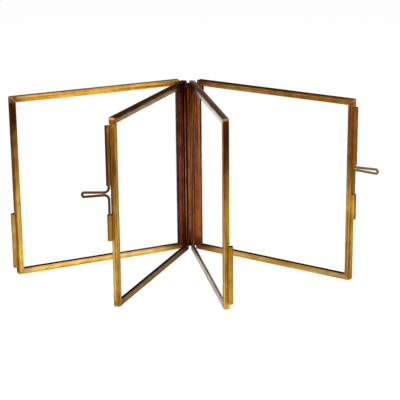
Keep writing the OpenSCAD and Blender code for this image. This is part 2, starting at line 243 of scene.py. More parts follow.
def make_channel_marks():
    """Where the channel takes patina with painted shade, solder and a painted highlight. Depth
    runs from 0 at the leaf's outer edge to 1 at the channel's lip. The others are 1 on the lip and
    in the groove, which take patina and painted shade, on a mitre, and at the corners of the free
    edge: near one (Corner), in its square (Square) and right at its point, where a painted
    highlight goes."""
    group, given, result = new_group(
        "channel marks", "ShaderNodeTree", [("Place", VECTOR, (0, 0, 0))],
        [("Depth", FLOAT), ("Lip", FLOAT), ("Groove", FLOAT), ("Mitre", FLOAT), ("Corner", FLOAT),
         ("Glint", FLOAT), ("Square", FLOAT)])
    along, across, up = split(group, given["Place"])
    face = CHANNEL_FACE / MM
    groove_half, groove_floor, soft = 1.29, 0.625, 0.05
    from_hinge, to_clasp, from_top = from_edges(group, along, up)
    side_edge = sum_of(group, "MINIMUM", from_hinge, to_clasp)
    end_edge = sum_of(group, "MINIMUM", up, from_top)
    edge = sum_of(group, "MINIMUM", side_edge, end_edge)
    off_middle = sum_of(group, "ABSOLUTE", sum_of(
        group, "SUBTRACT", across, (SEAM_HALF + CHANNEL_DEPTH / 2) / MM))
    inside = sum_of(group, "MULTIPLY",
                    step_up(group, off_middle, groove_half + soft, groove_half - soft),
                    step_up(group, edge, groove_floor - 1.5 * soft, groove_floor + 1.5 * soft))
    off_mitre = sum_of(group, "ABSOLUTE", sum_of(group, "SUBTRACT", side_edge, end_edge))
    mitre = sum_of(group, "MULTIPLY", step_up(group, off_mitre, 0.3, 0.1),
                   step_up(group, edge, face + 0.3, face))
    from_corner = sum_of(group, "MAXIMUM", to_clasp, end_edge)
    for name, value in (
            ("Depth", sum_of(group, "DIVIDE", edge, face)),
            ("Lip", step_up(group, edge, face - 0.3, face - 0.02)),
            ("Groove", inside), ("Mitre", mitre),
            ("Corner", step_up(group, from_corner, 10.0, 4.0)),
            ("Glint", step_up(group, from_corner, 1.9, 0.9)),
            ("Square", step_up(group, from_corner, face + 1.2, face - 0.4))):
        group.links.new(value, result[name])
    return group


# What the tarnish and the drawn lines do to the metal's colour at their darkest and lightest
DARKER, LIGHTER = (0.42, 0.32, 0.26, 1), (1.50, 1.56, 1.64, 1)


def make_aged_brass():
    """Old brass: a patina over bright metal, with drawn lines and pits. Where it faces up it is
    dark
    and matt: painted shade. It is dark and matt too where the channels' lips and grooves and the
    tubes' bores are marked: patina with painted shade. It is warmer beside solder, and at the
    points of the channels' corners that warmth is a painted highlight."""
    group, given, result = new_group(
        "aged brass", "ShaderNodeTree",
        [("Metal", COLOR, (0.8, 0.5, 0.2, 1)), ("Tone", FLOAT, 0.5), ("Metal Share", FLOAT, 0.85),
         ("Facing", VECTOR, (0, 0, 1)), ("Lines", FLOAT, 0.5), ("Blotches", FLOAT, 0.5),
         ("Pits", FLOAT, 0.0), ("Line Strength", FLOAT, 0.5), ("Mottle", FLOAT, 0.5),
         ("Crown Colour", COLOR, (0.02, 0.01, 0, 1)), ("Crown", FLOAT, 0.0), ("Soot", FLOAT, 0.0),
         ("Solder", FLOAT, 0.0), ("Heat", FLOAT, 0.0), ("Heat Colour", COLOR, (0.2, 0.1, 0, 1)),
         ("Polish", FLOAT, 0.35)],
        [("Colour", COLOR), ("Metallic", FLOAT), ("Roughness", FLOAT), ("Height", FLOAT)])
    up = split(group, given["Facing"])[2]
    # Tone scales the metal's colour; on the channels it carries painted highlight and shade.
    toned = scaled(group, given["Metal"], sum_of(group, "MULTIPLY", given["Tone"], 2.0))
    dark = blend_colour(group, 1.0, toned, DARKER, "MULTIPLY")
    light = blend_colour(group, 1.0, toned, LIGHTER, "MULTIPLY")
    streaks = sum_of(group, "MULTIPLY", sum_of(group, "SUBTRACT", given["Lines"], 0.5),
                     given["Line Strength"])
    clouds = sum_of(group, "MULTIPLY", sum_of(group, "SUBTRACT", given["Blotches"], 0.5),
                    given["Mottle"])
    shade = sum_of(group, "ADD", 0.5, sum_of(group, "ADD", streaks, clouds), clamp=True)
    metal = blend_colour(group, shade, dark, light)
    pitted = blend_colour(group, sum_of(group, "MULTIPLY", given["Pits"], 0.3),
                          metal, paint("umber"))
    heated = blend_colour(group, sum_of(group, "MULTIPLY", given["Heat"], step_up(
        group, given["Blotches"], 0.1, 0.7, 0.35, 1.0)), pitted, given["Heat Colour"])
    # Rose where solder is marked; at the points of the channels' corners it is a painted
    # highlight.
    soldered = blend_colour(group, sum_of(group, "MULTIPLY", given["Solder"], 0.7),
                            heated, paint("rose"))
    # Dark and matt where it faces up: painted shade.
    top_shade = sum_of(group, "MULTIPLY", step_up(group, up, 0.45, 0.85), given["Crown"])
    top_shade_tone = scaled(group, given["Crown Colour"],
                        sum_of(group, "ADD", 0.7, sum_of(group, "MULTIPLY", shade, 0.6)))
    top_shaded = blend_colour(group, top_shade, soldered, top_shade_tone)
    # Dark on the channels' lips and grooves and in the tubes' bores: patina with painted shade.
    sooted_and_shaded = blend_colour(group, given["Soot"], top_shaded, paint("soot"))
    matt = sum_of(group, "MAXIMUM", top_shade, given["Soot"])
    bare = sum_of(group, "SUBTRACT", 1.0, matt)
    metallic = sum_of(group, "MULTIPLY", given["Metal Share"], bare)
    rough = sum_of(group, "ADD", given["Polish"], sum_of(
        group, "MULTIPLY", sum_of(group, "SUBTRACT", 0.5, shade), 0.16))
    rough = sum_of(group, "ADD", rough, sum_of(group, "MULTIPLY", matt, 0.35), clamp=True)
    height = sum_of(group, "SUBTRACT", given["Lines"],
                    sum_of(group, "MULTIPLY", given["Pits"], 2.0))
    for value, name in ((sooted_and_shaded, "Colour"), (metallic, "Metallic"), (rough, "Roughness"),
                        (height, "Height")):
        group.links.new(value, result[name])
    return group


leaf_place = make_leaf_place()
drawn_lines = make_drawn_lines()
channel_marks = make_channel_marks()
aged_brass = make_aged_brass()


# ---------------------------------------------------------------- materials

def blank_material(name):
    """A material with its shader and output, and the tree they are in."""
    material = bpy.data.materials.new(name)
    material.use_nodes = True
    tree = material.node_tree
    tree.nodes.clear()
    shader = put(tree, "ShaderNodeBsdfPrincipled")
    out = put(tree, "ShaderNodeOutputMaterial")
    tree.links.new(shader.outputs[0], out.inputs[0])
    return material, tree, shader


def colour_run(tree, value, stops, interpolation):
    """A run of colours: each stop is (place from 0 to 1, colour)."""
    made = put(tree, "ShaderNodeValToRGB", {0: value})
    made.color_ramp.interpolation = interpolation
    elements = made.color_ramp.elements
    while len(elements) < len(stops):
        elements.new(0.5)
    for element, (place, colour) in zip(elements, stops):
        element.position = place
        element.color = colour
    return made.outputs["Color"]


def shade_run(tree, value, stops):
    """A run of patina shades: each stop is (place from 0 to 1, shade)."""
    return colour_run(tree, value, [(place, paint(shade)) for place, shade in stops], "EASE")


def tone_run(tree, value, stops):
    """A run of tones, where 0.5 leaves a colour as it is: each stop is (place, tone)."""
    greys = [(place, (tone, tone, tone, 1)) for place, tone in stops]
    return colour_run(tree, value, greys, "LINEAR")


# The metal's colour seen at a low angle, on brass, darkened wire and pale or grey leaves
BRASS_EDGE, WIRE_EDGE = (0.62, 0.46, 0.30), (0.3, 0.22, 0.14)
PALE_EDGE, GREY_EDGE = (0.95, 0.92, 0.88), (0.8, 0.74, 0.66)
POLISH, WIRE_POLISH, SOLDER_POLISH = 0.34, 0.26, 0.30  # roughness where it is clean


def finish_shader(tree, shader, brass, bump=0.3, edge_tint=BRASS_EDGE):
    """Joins the aged brass to the shader. edge_tint is the metal's colour seen at a low angle."""
    for name, socket in (("Colour", "Base Color"), ("Metallic", "Metallic"),
                         ("Roughness", "Roughness")):
        tree.links.new(brass[name], shader.inputs[socket])
    shader.inputs["Specular IOR Level"].default_value = 0.0
    shader.inputs["Specular Tint"].default_value = (*edge_tint, 1)
    bumped = put(tree, "ShaderNodeBump",
                 {"Height": brass["Height"], "Strength": bump, "Distance": 0.03 * MM})
    tree.links.new(bumped.outputs[0], shader.inputs["Normal"])


def leaf_start(tree, leaf):
    """The place and facing of a point on a leaf."""
    return use(tree, leaf_place, Hinge=leaf.hinge, Turn=math.radians(leaf.direction),
               Side=float(leaf.side))


def age(tree, at, grain, shift, **look):
    """Old brass at a place on a leaf. grain is how many drawn lines there are to a millimetre
    along, across and up, and look is what the aged brass is given."""
    drawn = use(tree, drawn_lines, Place=at["Place"], Grain=grain, Shift=shift)
    return use(tree, aged_brass, Facing=at["Facing"], Lines=drawn["Lines"],
               Blotches=drawn["Blotches"], Pits=drawn["Pits"], **look)


def faces(tree, at, way):
    """How squarely a point faces a way on its leaf, from -1 to 1."""
    return put(tree, "ShaderNodeVectorMath", {0: at["Facing"], 1: way},
               operation="DOT_PRODUCT").outputs["Value"]


# The tone of a plain face from its outer edge to its lip: painted shade at both edges and a
# painted highlight just inside the outer edge
EVEN = [(0.0, 0.46), (0.12, 0.54), (0.5, 0.5), (0.9, 0.5), (1.0, 0.44)]
ALONG_GRAIN = 0.02  # a drawn line runs about 50 mm


def channel_brass(name, leaf, run, face, edge=None, top_shade=None, top_shade_section=EVEN, lip=0.6,
                  section=EVEN, arris=None, share=0.85, lines=0.6, fine=1.3, mottle=0.3,
                  shift=0.0, edge_tint=BRASS_EDGE, groove="soot", far_lip=0.5,
                  heat=("walnut", 0.25), glint=0.5):
    """A length of channel. run is "up" on a stile and "along" on a rail. face and edge are the
    shades on its faces and on the leaf's edge, and top_shade the painted shade where it faces up,
    all as stops along the run. section is its tone from the outer edge to the lip, painted
    highlight and painted shade across the face, top_shade_section the tone of the painted shade
    where it faces up, from the seam to the other side, and arris the shade of a painted reflection
    on the outer edge of the faces and how far it reaches. share is how much of it is bare metal,
    lines and mottle the strength of its drawn lines and blotches, and fine how many lines there
    are to a millimetre. lip is how dark the lip is and groove the groove's shade: their darkness
    is patina with painted shade, and a pale groove is painted light. far_lip is the tone of the
    lip away from the seam, painted shade below 0.5, heat the shade and strength of the soldering's
    mark by the corners, and glint the strength of a painted highlight at the corners' points."""
    material, tree, shader = blank_material(name)
    at = leaf_start(tree, leaf)
    along, across, up = split(tree, at["Place"])
    nx, ny, nz = split(tree, at["Facing"])
    if run == "up":
        place = sum_of(tree, "DIVIDE", up, LEAF / MM)
        outward, grain = nx, (fine, fine, ALONG_GRAIN)
    else:
        place = sum_of(tree, "DIVIDE", from_edges(tree, along, up)[0], LEAF / MM)
        outward, grain = nz, (ALONG_GRAIN, fine, fine)
    metal = shade_run(tree, place, face)
    if edge:
        on_edge = step_up(tree, sum_of(tree, "ABSOLUTE", outward), 0.35, 0.8)
        metal = blend_colour(tree, on_edge, metal, shade_run(tree, place, edge))
    marks = use(tree, channel_marks, Place=at["Place"])
    on_face = step_up(tree, sum_of(tree, "ABSOLUTE", ny), 0.4, 0.8)
    # A painted reflection on the rounded outer edge of the faces.
    if arris:
        on_arris = sum_of(tree, "MULTIPLY", on_face,
                          step_up(tree, marks["Depth"], arris[1], arris[1] * 0.5))
        metal = blend_colour(tree, on_arris, metal, paint(arris[0]))
    # The section's tone across the face: painted highlight and painted shade.
    tone = sum_of(tree, "ADD", 0.5, sum_of(tree, "MULTIPLY", on_face, sum_of(
        tree, "SUBTRACT", tone_run(tree, marks["Depth"], section), 0.5)))
    # Darker on the lip away from the seam when far_lip is below 0.5: painted shade.
    on_far_lip = sum_of(tree, "MULTIPLY", step_up(tree, nx, 0.5, 0.9),
                        step_up(tree, across, 1.4, 2.6, 0.0, far_lip - 0.5))
    tone = sum_of(tree, "ADD", tone, on_far_lip)
    # Dark on the lip and, with soot, in the groove: patina with painted shade.
    soot = sum_of(tree, "MAXIMUM", sum_of(tree, "MULTIPLY", marks["Lip"], lip),
                  sum_of(tree, "MULTIPLY", marks["Groove"], 1.0 if groove == "soot" else 0.0))
    # A pale groove: painted light.
    if groove != "soot":
        metal = blend_colour(tree, marks["Groove"], metal, paint(groove))
    # The shade where it faces up: painted shade.
    top_shade_colour = paint("soot")
    if top_shade:
        from_seam = sum_of(tree, "DIVIDE", sum_of(tree, "SUBTRACT", across, SEAM_HALF / MM),
                           CHANNEL_DEPTH / MM)
        top_shade_tone = sum_of(tree, "MULTIPLY", tone_run(tree, from_seam, top_shade_section), 2.0)
        top_shade_colour = scaled(tree, shade_run(tree, place, top_shade), top_shade_tone)
    heated = sum_of(tree, "MULTIPLY", heat[1], sum_of(
        tree, "MAXIMUM", marks["Square"],
        sum_of(tree, "MULTIPLY", marks["Corner"],
               step_up(tree, marks["Depth"], 0.25, 0.5, 0.0, 0.5))))
    # Rose on the mitres for solder, and at the corners' points for a painted highlight.
    solder = sum_of(tree, "MAXIMUM", sum_of(tree, "MULTIPLY", marks["Mitre"], 0.5),
                    sum_of(tree, "MULTIPLY", marks["Glint"], glint))
    brass = age(tree, at, grain, shift, Metal=metal, Tone=tone, Metal_Share=share,
                Line_Strength=lines, Mottle=mottle, Soot=soot, Solder=solder, Heat=heated,
                Heat_Colour=paint(heat[0]), Crown=1.0 if top_shade else 0.0,
                Crown_Colour=top_shade_colour, Polish=POLISH)
    finish_shader(tree, shader, brass, edge_tint=edge_tint)
    return material


def tube_brass(name, leaf, axis, body, shaded=("umber", 0.0, (0, 1, 0)), end=("soot", 0.8),
               solder="bronze", share=0.8, shift=0.0, edge_tint=BRASS_EDGE):
    """A tube soldered to a leaf's edge. axis is its place along and across the leaf, body its
    shades as stops up the leaf, shaded the painted shade on one side, how much of it and the way
    that side faces, end the painted shade on its upper end and how much of it, and solder the
    shade of the solder on it. Its bore is darkened with painted shade."""
    material, tree, shader = blank_material(name)
    at = leaf_start(tree, leaf)
    along, across, up = split(tree, at["Place"])
    metal = shade_run(tree, sum_of(tree, "DIVIDE", up, LEAF / MM), body)
    # Darker on one side: painted shade.
    toward = faces(tree, at, Vector(shaded[2]).normalized())
    side = sum_of(tree, "MULTIPLY", step_up(tree, toward, 0.0, 0.9), shaded[1])
    metal = blend_colour(tree, side, metal, paint(shaded[0]))
    radius = sum_of(tree, "SQRT", sum_of(
        tree, "ADD", sum_of(tree, "POWER", sum_of(tree, "SUBTRACT", along, axis[0] / MM), 2.0),
        sum_of(tree, "POWER", sum_of(tree, "SUBTRACT", across, axis[1] / MM), 2.0)))
    soldered = step_up(tree, radius, TUBE_RADIUS / MM + 0.01, TUBE_RADIUS / MM + 0.12)
    metal = blend_colour(tree, soldered, metal, paint(solder))
    # Dark inside the bore: painted shade.
    inside = step_up(tree, radius, TUBE_BORE / MM + 0.23, TUBE_BORE / MM + 0.08)
    brass = age(tree, at, (3.4, 3.4, 0.05), shift, Metal=metal, Metal_Share=share,
                Line_Strength=0.4, Mottle=0.3, Crown_Colour=paint(end[0]), Crown=end[1],
                Soot=inside, Polish=POLISH)
    finish_shader(tree, shader, brass, edge_tint=edge_tint)
    return material


def wire_brass(name, leaf, turn, flat, side, share=0.6, shift=0.0):
    """Bent wire. flat is the shade on the flat of the handle, and side the shade round it: a
    lighter flat is a painted highlight and a darker side painted shade. turn is the way the handle
    points on its leaf."""
    material, tree, shader = blank_material(name)
    at = leaf_start(tree, leaf)
    toward = faces(tree, at, (-math.sin(turn), math.cos(turn), 0))
    # The flat takes the flat's shade and the rest the side's: painted light by facing.
    flat_lit = step_up(tree, sum_of(tree, "ABSOLUTE", toward), 0.6, 0.95)
    metal = blend_colour(tree, flat_lit, paint(side), paint(flat))
    brass = age(tree, at, (1.5, 1.5, 1.5), shift, Metal=metal, Metal_Share=share,
                Line_Strength=0.4, Mottle=0.2, Polish=WIRE_POLISH)
    finish_shader(tree, shader, brass, bump=0.2, edge_tint=WIRE_EDGE)
    return material


def solder_metal(name, leaf, shade, shift=0.0, share=0.7, tinned=0.35):
    """Solder, warmed by the brass under it. share is how bare it is, and tinned how pale."""
    material, tree, shader = blank_material(name)
    at = leaf_start(tree, leaf)
    brass = age(tree, at, (0.9, 0.9, 0.9), shift, Metal=paint(shade), Metal_Share=share,
                Line_Strength=0.5, Mottle=0.3, Solder=tinned, Polish=SOLDER_POLISH)
    finish_shader(tree, shader, brass, bump=0.5)
    return material


GLASS_IOR = 1.5


def clear_glass(name, leaf, faint_share):
    """Clear glass with a little dust by the channel and a few wipe marks, painted near-black
    where it stands in the channel, as shade. faint_share is how much of its reflections is left
    out."""
    material, tree, shader = blank_material(name)
    at = leaf_start(tree, leaf)
    along, across, up = split(tree, at["Place"])
    from_hinge, to_clasp, from_top = from_edges(tree, along, up)
    edge = sum_of(tree, "MINIMUM", sum_of(tree, "MINIMUM", from_hinge, to_clasp),
                  sum_of(tree, "MINIMUM", up, from_top))
    wiped = put(tree, "ShaderNodeTexNoise", {"Vector": at["Place"], "Scale": 0.05, "Detail": 5.0,
                                             "Roughness": 0.7, "Distortion": 1.5}).outputs["Fac"]
    dust = sum_of(tree, "MULTIPLY", step_up(tree, edge, 6.5, 3.6), step_up(tree, wiped, 0.4, 0.7))
    tint = blend_colour(tree, dust, (0.995, 1.0, 0.998, 1), (0.98, 0.978, 0.97, 1))
    # Near-black where it stands in the channel: painted shade.
    channel_shade = step_up(tree, edge, CHANNEL_FACE / MM - 0.1, CHANNEL_FACE / MM - 0.3)
    tint = blend_colour(tree, channel_shade, tint, paint("soot"))
    tree.links.new(tint, shader.inputs["Base Color"])
    haze = sum_of(tree, "ADD", sum_of(tree, "MULTIPLY", dust, 0.006),
                  step_up(tree, wiped, 0.55, 0.75, 0.0, 0.004))
    tree.links.new(haze, shader.inputs["Roughness"])
    ripple = put(tree, "ShaderNodeTexNoise", {"Vector": at["Place"], "Scale": 0.02}).outputs["Fac"]
    bumped = put(tree, "ShaderNodeBump", {"Height": ripple, "Strength": 0.1, "Distance": 0.2 * MM})
    tree.links.new(bumped.outputs[0], shader.inputs["Normal"])
    shader.inputs["Transmission Weight"].default_value = 1.0
    shader.inputs["IOR"].default_value = GLASS_IOR
    out = next(n for n in tree.nodes if n.type == "OUTPUT_MATERIAL")
    unlit = put(tree, "ShaderNodeBsdfRefraction",
                {"Color": tint, "IOR": GLASS_IOR, "Roughness": 0.0})
    faint = put(tree, "ShaderNodeMixShader",
                {0: faint_share, 1: shader.outputs[0], 2: unlit.outputs[0]})
    shadow = put(tree, "ShaderNodeMixShader", {
        0: put(tree, "ShaderNodeLightPath").outputs["Is Shadow Ray"], 1: faint.outputs[0],
        2: put(tree, "ShaderNodeBsdfTransparent").outputs[0]})
    tree.links.new(shadow.outputs[0], out.inputs[0])
    return material


def give(node, material):
    """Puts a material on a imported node."""
    slots = frame["nodes"][node].data.materials
    slots.clear()
    slots.append(material)


SHIFT_STEP = 3.7  # from one piece to the next, so that their lines and blotches differ

# How each length of channel looks, in channel_brass's words. Their section, arris, far_lip,
# top shade and corner glint paint highlights and shade into the colour.
SPINE = dict(share=0.35, lines=0.9, fine=1.5, mottle=0.4)
# Soot-black all along: painted shade on the tops of the bottom rails.
BLACK_SHADE = [(0.0, "soot"), (1.0, "soot")]
CHANNELS = {
    "far_left_top_rail": dict(
        run="along", face=[(0.0, "tan"), (0.05, "honey"), (0.13, "gold"), (0.84, "gold"),
                           (0.93, "ochre"), (0.98, "tan")],
        top_shade=[(0.05, "umber"), (0.15, "taupe"), (0.97, "taupe")], lip=0.0,
        arris=("bronze", 0.12), heat=("mahogany", 1.5), glint=0.25,
        section=[(0.0, 0.5), (0.1, 0.54), (0.2, 0.6), (0.34, 0.54), (0.5, 0.49), (1.0, 0.48)]),
    "far_left_bottom_rail": dict(
        run="along", face=[(0.0, "maroon"), (0.06, "bronze"), (0.14, "honey"), (0.22, "straw"),
                           (0.86, "straw"), (0.98, "honey")],
        # black along the lip and on top: painted shade
        top_shade=BLACK_SHADE, lip=1.0, arris=("honey", 0.3), glint=0.2, lines=0.4,
        section=[(0.0, 0.48), (0.4, 0.5), (0.72, 0.58), (0.86, 0.46), (1.0, 0.3)]),
    "far_left_clasp_stile": dict(
        run="up", face=[(0.02, "honey"), (0.26, "honey"), (0.42, "ochre"), (0.56, "tan"),
                        (0.66, "bronze"), (0.76, "chestnut"), (0.88, "umber"), (0.96, "umber"),
                        (0.98, "mahogany")],
        edge=[(0.02, "walnut"), (0.43, "chestnut"), (0.62, "chestnut"), (0.76, "umber"),
              (0.96, "umber"), (0.98, "mahogany")], lip=0.3, glint=0.15, heat=("bronze", 0.4),
        lines=0.9,
        section=[(0.0, 0.36), (0.3, 0.42), (0.5, 0.48), (0.7, 0.54), (0.9, 0.52), (1.0, 0.38)]),
    "far_left_hinge_stile": dict(
        run="up", face=[(0.0, "soot"), (0.05, "maroon"), (0.14, "brick"), (0.4, "sienna"),
                        (0.6, "sienna"), (0.74, "brick"), (0.88, "maroon"), (1.0, "soot")],
        edge=[(0.0, "soot"), (0.1, "umber"), (0.9, "umber"), (1.0, "soot")],
        # a pale groove: painted light
        lip=0.0, groove="pewter",
        section=[(0.0, 0.1), (0.16, 0.18), (0.34, 0.46), (0.72, 0.54), (0.84, 0.34),
                 (1.0, 0.12)], **SPINE),
    "near_left_top_rail": dict(
        run="along", face=[(0.02, "soot"), (0.13, "umber"), (0.22, "drab"), (0.8, "drab"),
                           (0.96, "bronze")],
        top_shade=[(0.0, "umber"), (0.12, "walnut"), (1.0, "walnut")],
        top_shade_section=[(0.0, 0.16), (0.5, 0.2), (1.0, 0.28)],
        lip=0.0, share=0.7, edge_tint=GREY_EDGE, arris=("soot", 0.42), glint=0.1,
        section=[(0.0, 0.36), (0.35, 0.3), (0.5, 0.46), (0.7, 0.54), (1.0, 0.58)]),
    "near_left_bottom_rail": dict(
        run="along", face=[(0.02, "soot"), (0.12, "walnut"), (0.2, "chestnut"), (0.32, "moss"),
                           (0.98, "moss")],
        top_shade=[(0.0, "umber"), (0.15, "bark"), (1.0, "taupe")], lip=0.4, share=0.7,
        heat=("umber", 0.6), glint=0.2, edge_tint=GREY_EDGE,
        section=[(0.0, 0.56), (0.5, 0.54), (0.75, 0.5), (1.0, 0.44)]),
    "near_left_clasp_stile": dict(
        run="up", face=[(0.02, "olive"), (0.6, "olive"), (0.93, "tan")],
        edge=[(0.02, "ochre"), (0.3, "ochre"), (0.46, "tan"), (0.6, "bronze"), (0.74, "chestnut"),
              (0.92, "bronze"), (0.97, "tan")], lip=0.2, glint=0.55,
        heat=("chestnut", 1.0), lines=0.9, edge_tint=(0.72, 0.62, 0.42)),
    "near_left_hinge_stile": dict(
        run="up", face=[(0.0, "soot"), (0.05, "maroon"), (0.75, "maroon"), (0.92, "umber"),
                        (1.0, "soot")],
        edge=[(0.0, "soot"), (0.08, "walnut"), (0.3, "clay"), (0.6, "plum"), (0.9, "walnut"),
              (1.0, "soot")], lip=0.0,
        far_lip=0.26, section=[(0.0, 0.12), (0.3, 0.24), (0.6, 0.34), (1.0, 0.4)], **SPINE),
    # The pale grey faces of this leaf's rails, here and in the next entry, are painted reflection.
    "near_right_top_rail": dict(
        run="along", face=[(0.02, "soot"), (0.2, "umber"), (0.34, "pewter"), (0.48, "tin"),
                           (0.98, "tin")],
        top_shade=[(0.0, "drab"), (0.12, "taupe"), (1.0, "taupe")], lip=0.0,
        top_shade_section=[(0.0, 0.16), (0.4, 0.26), (0.56, 0.44), (1.0, 0.44)],
        edge_tint=PALE_EDGE, arris=("umber", 0.46), glint=0.3, heat=("umber", 0.0)),
    "near_right_bottom_rail": dict(
        run="along", face=[(0.02, "umber"), (0.12, "drab"), (0.25, "pewter"), (0.98, "pewter")],
        # a pale groove: painted light
        lip=0.0, edge_tint=PALE_EDGE, groove="tin", glint=0.2, heat=("umber", 0.3),
        section=[(0.0, 0.5), (0.5, 0.48), (1.0, 0.52)]),
    "near_right_clasp_stile": dict(
        run="up", face=[(0.05, "ochre"), (0.26, "tan"), (0.55, "olive"), (0.95, "olive")],
        edge=[(0.02, "honey"), (0.12, "honey"), (0.26, "ochre"), (0.4, "tan"), (0.56, "bronze"),
              (0.68, "chestnut"), (0.78, "walnut"), (0.88, "umber"), (0.985, "umber"),
              (0.995, "mahogany")], lip=0.2, lines=0.8,
        glint=0.3, heat=("umber", 0.0)),
    "near_right_hinge_stile": dict(
        run="up", face=[(0.0, "soot"), (0.05, "rust"), (0.2, "clay"), (0.4, "clay"),
                        (0.7, "rust"), (0.88, "walnut"), (1.0, "soot")],
        # a pale groove: painted light
        groove="ember", far_lip=0.38,
        edge=[(0.0, "soot"), (0.06, "mahogany"), (0.12, "mahogany"), (0.24, "sienna"),
              (0.42, "sienna"), (0.6, "rust"), (0.85, "rust"), (1.0, "soot")], lip=0.4,
        section=[(0.0, 0.26), (0.5, 0.3), (1.0, 0.32)], **SPINE),
    "far_right_top_rail": dict(
        run="along", face=[(0.0, "mahogany"), (0.06, "rust"), (0.16, "bronze"), (0.95, "bronze")],
        top_shade=[(0.05, "soot"), (0.55, "soot"), (0.8, "umber"), (0.98, "umber")], lip=0.0,
        arris=("walnut", 0.24), heat=("mahogany", 0.9), glint=0.0,
        section=[(0.0, 0.36), (0.2, 0.42), (0.35, 0.5), (0.7, 0.51), (1.0, 0.54)]),
    "far_right_bottom_rail": dict(
        run="along", face=[(0.0, "maroon"), (0.07, "cinnamon"), (0.18, "tan"), (0.28, "ochre"),
                           (0.46, "ochre"), (0.6, "tan"), (0.95, "olive")],
        # black along the lip and on top: painted shade
        top_shade=BLACK_SHADE, lip=1.0,
        section=[(0.0, 0.54), (0.5, 0.54), (0.75, 0.48), (1.0, 0.36)]),
    "far_right_clasp_stile": dict(
        run="up", face=[(0.05, "tan"), (0.32, "tan"), (0.42, "ochre"), (0.5, "tan"),
                        (0.58, "bronze"), (0.7, "cinnamon"), (0.93, "cinnamon")],
        edge=[(0.05, "olive"), (0.28, "ochre"), (0.4, "bronze"), (0.6, "chestnut"),
              (0.9, "bronze"), (0.96, "ochre"), (0.98, "honey")], lip=0.4, glint=0.4,
        heat=("mahogany", 0.6), lines=1.0,
        section=[(0.0, 0.34), (0.12, 0.4), (0.3, 0.52), (0.6, 0.5), (0.85, 0.5), (1.0, 0.4)]),
    "far_right_hinge_stile": dict(
        run="up", face=[(0.0, "soot"), (0.045, "mahogany"), (0.1, "copper"), (0.91, "copper"),
                        # a pale groove: painted light
                        (0.97, "mahogany"), (1.0, "soot")], lip=0.0, groove="pewter",
        section=[(0.0, 0.36), (0.16, 0.62), (0.3, 0.5), (0.42, 0.4), (0.58, 0.56), (0.7, 0.5),
                 (0.82, 0.38), (1.0, 0.32)], **SPINE),
}
for number, (node, look) in enumerate(CHANNELS.items()):
    leaf = LEAVES[node.rsplit("_", 2)[0]]
    give(node, channel_brass(f"{node}_brass", leaf, shift=SHIFT_STEP * number, **look))

# How each tube looks, in tube_brass's words. Its axis is at the hinge or at the clasp. The
# shaded sides and dark upper ends are painted shade.
HINGE, FAR_HINGE = (0.0, 0.0), (0.0, LEAF_PITCH)
CLASP, FAR_CLASP = (CLASP_ALONG, 0.0), (CLASP_ALONG, LEAF_PITCH)
TUBES = {
    "far_left_end_knuckles": dict(
        axis=HINGE, body=[(0.0, "maroon"), (1.0, "brick")], share=0.4),
    "far_left_keeper_tube": dict(
        axis=CLASP, body=[(0.03, "tan"), (0.25, "ochre"), (0.35, "tan")], end=("soot", 1.0),
        shaded=("moss", 0.5, (0.96, 0.3, 0)), solder="tan"),
    "near_left_middle_knuckle": dict(
        axis=FAR_HINGE, body=[(0.0, "brick"), (1.0, "brick")], share=0.4),
    "near_left_end_knuckles": dict(
        axis=HINGE, body=[(0.02, "soot"), (0.08, "maroon"), (0.16, "plum"), (0.7, "plum"),
                          (0.8, "mahogany"), (0.92, "maroon"), (1.0, "soot")], share=0.4),
    "near_left_upper_tube": dict(
        axis=FAR_CLASP, body=[(0.64, "bronze"), (0.7, "chestnut"), (0.86, "chestnut"),
                              (0.95, "bronze")], shaded=("umber", 0.9, (0.7, 0.7, 0))),
    "near_left_short_tube": dict(
        axis=FAR_CLASP, body=[(0.34, "tan"), (0.48, "tan")],
        shaded=("chestnut", 0.7, (0.8, 0.6, 0)), solder="tan", end=("soot", 1.0)),
    "near_right_centre_knuckle": dict(
        axis=HINGE, body=[(0.0, "rust"), (0.3, "ember"), (0.6, "clay"), (0.8, "maroon"),
                          (1.0, "soot")],
        share=0.35, shaded=("chestnut", 0.7, (1.0, 0.2, 0))),
    "near_right_side_knuckle": dict(
        axis=FAR_HINGE, body=[(0.0, "maroon"), (1.0, "maroon")], share=0.1,
        edge_tint=(0.3, 0.12, 0.05), shaded=("soot", 0.5, (1.0, -0.3, 0))),
    "near_right_keeper_tube": dict(
        axis=FAR_CLASP, body=[(0.03, "ochre"), (0.15, "tan"), (0.27, "tan"), (0.35, "bronze")],
        end=("soot", 1.0)),
    "far_right_end_knuckles": dict(
        axis=HINGE, body=[(0.0, "umber"), (0.1, "rust"), (1.0, "rust")], share=0.4),
    "far_right_upper_tube": dict(
        axis=CLASP, body=[(0.64, "cinnamon"), (0.95, "cinnamon")], solder="chestnut"),
    "far_right_short_tube": dict(
        axis=CLASP, body=[(0.34, "tan"), (0.42, "ochre"), (0.48, "tan")], end=("soot", 1.0),
        shaded=("soot", 0.8, (0.88, 0.6, 0))),
}
for number, (node, look) in enumerate(TUBES.items()):
    leaf = LEAVES["_".join(node.split("_")[:2])]
    give(node, tube_brass(f"{node}_brass", leaf, shift=50 + SHIFT_STEP * number, **look))

FAINT_SHARES = {"far_left": 0.88, "near_left": 0.88, "near_right": 0.95, "far_right": 0.88}
for name, leaf in LEAVES.items():
    give(f"{name}_glass", clear_glass(f"{name}_glass_clear", leaf, FAINT_SHARES[name]))

LEFT_HANDLE, RIGHT_HANDLE = math.radians(62.5), math.radians(2.5)
give("left_bolt", wire_brass("left_bolt_wire", LEAVES["near_left"], LEFT_HANDLE,
                             "bark", "bark", share=0.2, shift=91.0))
give("right_bolt", wire_brass("right_bolt_wire", LEAVES["far_right"], RIGHT_HANDLE,
                              "moss", "moss", share=0.25, shift=95.0))
